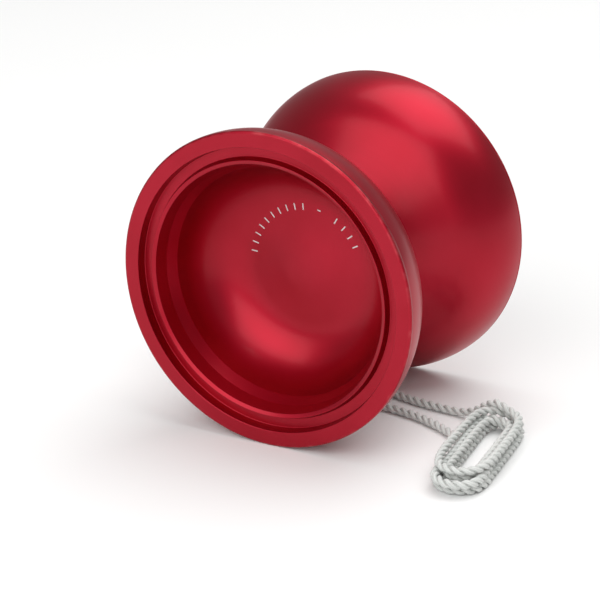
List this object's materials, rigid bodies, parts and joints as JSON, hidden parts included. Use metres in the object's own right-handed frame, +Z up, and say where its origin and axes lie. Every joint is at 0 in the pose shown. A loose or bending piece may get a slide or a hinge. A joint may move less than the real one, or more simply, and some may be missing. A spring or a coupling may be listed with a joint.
{
  "type": "yo-yo",
  "caption": "Metal unresponsive yo-yo: two deep-cupped turned halves screwed onto a threaded axle round a shielded ball bearing, with its string hank.",
  "frame": {"origin": "middle of the bearing, on the spin axis and halfway between the two halves", "axes": "+Y along the spin axis towards the back half, +Z up; the yo-yo stands on the rims of its halves, with the floor 27.5 mm below the origin"},
  "size_m": [0.073, 0.0634, 0.055],
  "materials": {
    "red_anodised": "red anodised, satin turned",
    "silicone": "matt translucent white",
    "axle_steel": "black-oxide threaded steel",
    "bearing_steel": "ground and polished",
    "ball_steel": "polished",
    "cage_steel": "satin",
    "shield_steel": "satin",
    "string_fibre": "twisted white polyester and cotton"
  },
  "bodies": {
    "string_side": {"bearing_outer_race": "bearing_steel", "bearing_shield_back": "shield_steel", "bearing_shield_front": "shield_steel", "snap_ring_back": "shield_steel", "snap_ring_front": "shield_steel", "string_bearing_loop": "string_fibre", "string_lead": "string_fibre", "string_hank": "string_fibre", "string_link": "string_fibre", "string_stowed_hank": "string_fibre", "string_knot": "string_fibre", "string_finger_loop": "string_fibre"},
    "back_side": {"back_half": "red_anodised", "axle_stud": "axle_steel", "bearing_inner_race": "bearing_steel", "response_pad_back": "silicone"},
    "ball_cage": {"bearing_cage": "cage_steel"},
    "front_travel": {"response_pad_front": "silicone"},
    "front_side": {"front_half": "red_anodised"},
    "bearing_ball_1": {"bearing_ball_1": "ball_steel"},
    "bearing_ball_2": {"bearing_ball_2": "ball_steel"},
    "bearing_ball_3": {"bearing_ball_3": "ball_steel"},
    "bearing_ball_4": {"bearing_ball_4": "ball_steel"},
    "bearing_ball_5": {"bearing_ball_5": "ball_steel"},
    "bearing_ball_6": {"bearing_ball_6": "ball_steel"},
    "bearing_ball_7": {"bearing_ball_7": "ball_steel"},
    "bearing_ball_8": {"bearing_ball_8": "ball_steel"}
  },
  "joints": [
    {"name": "spin", "type": "hinge", "parent": "string_side", "child": "back_side", "pos_m": [0, 0, 0], "axis": [0, 1, 0], "continuous": true},
    {"name": "cage_orbit", "type": "hinge", "parent": "string_side", "child": "ball_cage", "pos_m": [0, 0, 0], "axis": [0, 1, 0], "continuous": true},
    {"name": "front_travel", "type": "slide", "parent": "back_side", "child": "front_travel", "axis": [0, -1, 0], "range_m": [0, 0.0049]},
    {"name": "front_unscrew", "type": "hinge", "parent": "front_travel", "child": "front_side", "pos_m": [0, 0, 0], "axis": [0, -1, 0], "range_deg": [0, 2520]},
    {"name": "ball_1_roll", "type": "hinge", "parent": "ball_cage", "child": "bearing_ball_1", "pos_m": [0.0044, 0, 0.00182], "axis": [0, 1, 0], "continuous": true},
    {"name": "ball_2_roll", "type": "hinge", "parent": "ball_cage", "child": "bearing_ball_2", "pos_m": [0.00182, 0, 0.0044], "axis": [0, 1, 0], "continuous": true},
    {"name": "ball_3_roll", "type": "hinge", "parent": "ball_cage", "child": "bearing_ball_3", "pos_m": [-0.00182, 0, 0.0044], "axis": [0, 1, 0], "continuous": true},
    {"name": "ball_4_roll", "type": "hinge", "parent": "ball_cage", "child": "bearing_ball_4", "pos_m": [-0.0044, 0, 0.00182], "axis": [0, 1, 0], "continuous": true},
    {"name": "ball_5_roll", "type": "hinge", "parent": "ball_cage", "child": "bearing_ball_5", "pos_m": [-0.0044, 0, -0.00182], "axis": [0, 1, 0], "continuous": true},
    {"name": "ball_6_roll", "type": "hinge", "parent": "ball_cage", "child": "bearing_ball_6", "pos_m": [-0.00182, 0, -0.0044], "axis": [0, 1, 0], "continuous": true},
    {"name": "ball_7_roll", "type": "hinge", "parent": "ball_cage", "child": "bearing_ball_7", "pos_m": [0.00182, 0, -0.0044], "axis": [0, 1, 0], "continuous": true},
    {"name": "ball_8_roll", "type": "hinge", "parent": "ball_cage", "child": "bearing_ball_8", "pos_m": [0.0044, 0, -0.00182], "axis": [0, 1, 0], "continuous": true}
  ],
  "couplings": [
    {"joint": "cage_orbit", "follows": "spin", "ratio": 0.41664},
    {"joint": "front_travel", "follows": "front_unscrew", "m_per_rad": 0.00011141},
    {"joint": "ball_1_roll", "follows": "spin", "ratio": -2.9157},
    {"joint": "ball_2_roll", "follows": "spin", "ratio": -2.9157},
    {"joint": "ball_3_roll", "follows": "spin", "ratio": -2.9157},
    {"joint": "ball_4_roll", "follows": "spin", "ratio": -2.9157},
    {"joint": "ball_5_roll", "follows": "spin", "ratio": -2.9157},
    {"joint": "ball_6_roll", "follows": "spin", "ratio": -2.9157},
    {"joint": "ball_7_roll", "follows": "spin", "ratio": -2.9157},
    {"joint": "ball_8_roll", "follows": "spin", "ratio": -2.9157}
  ]
}
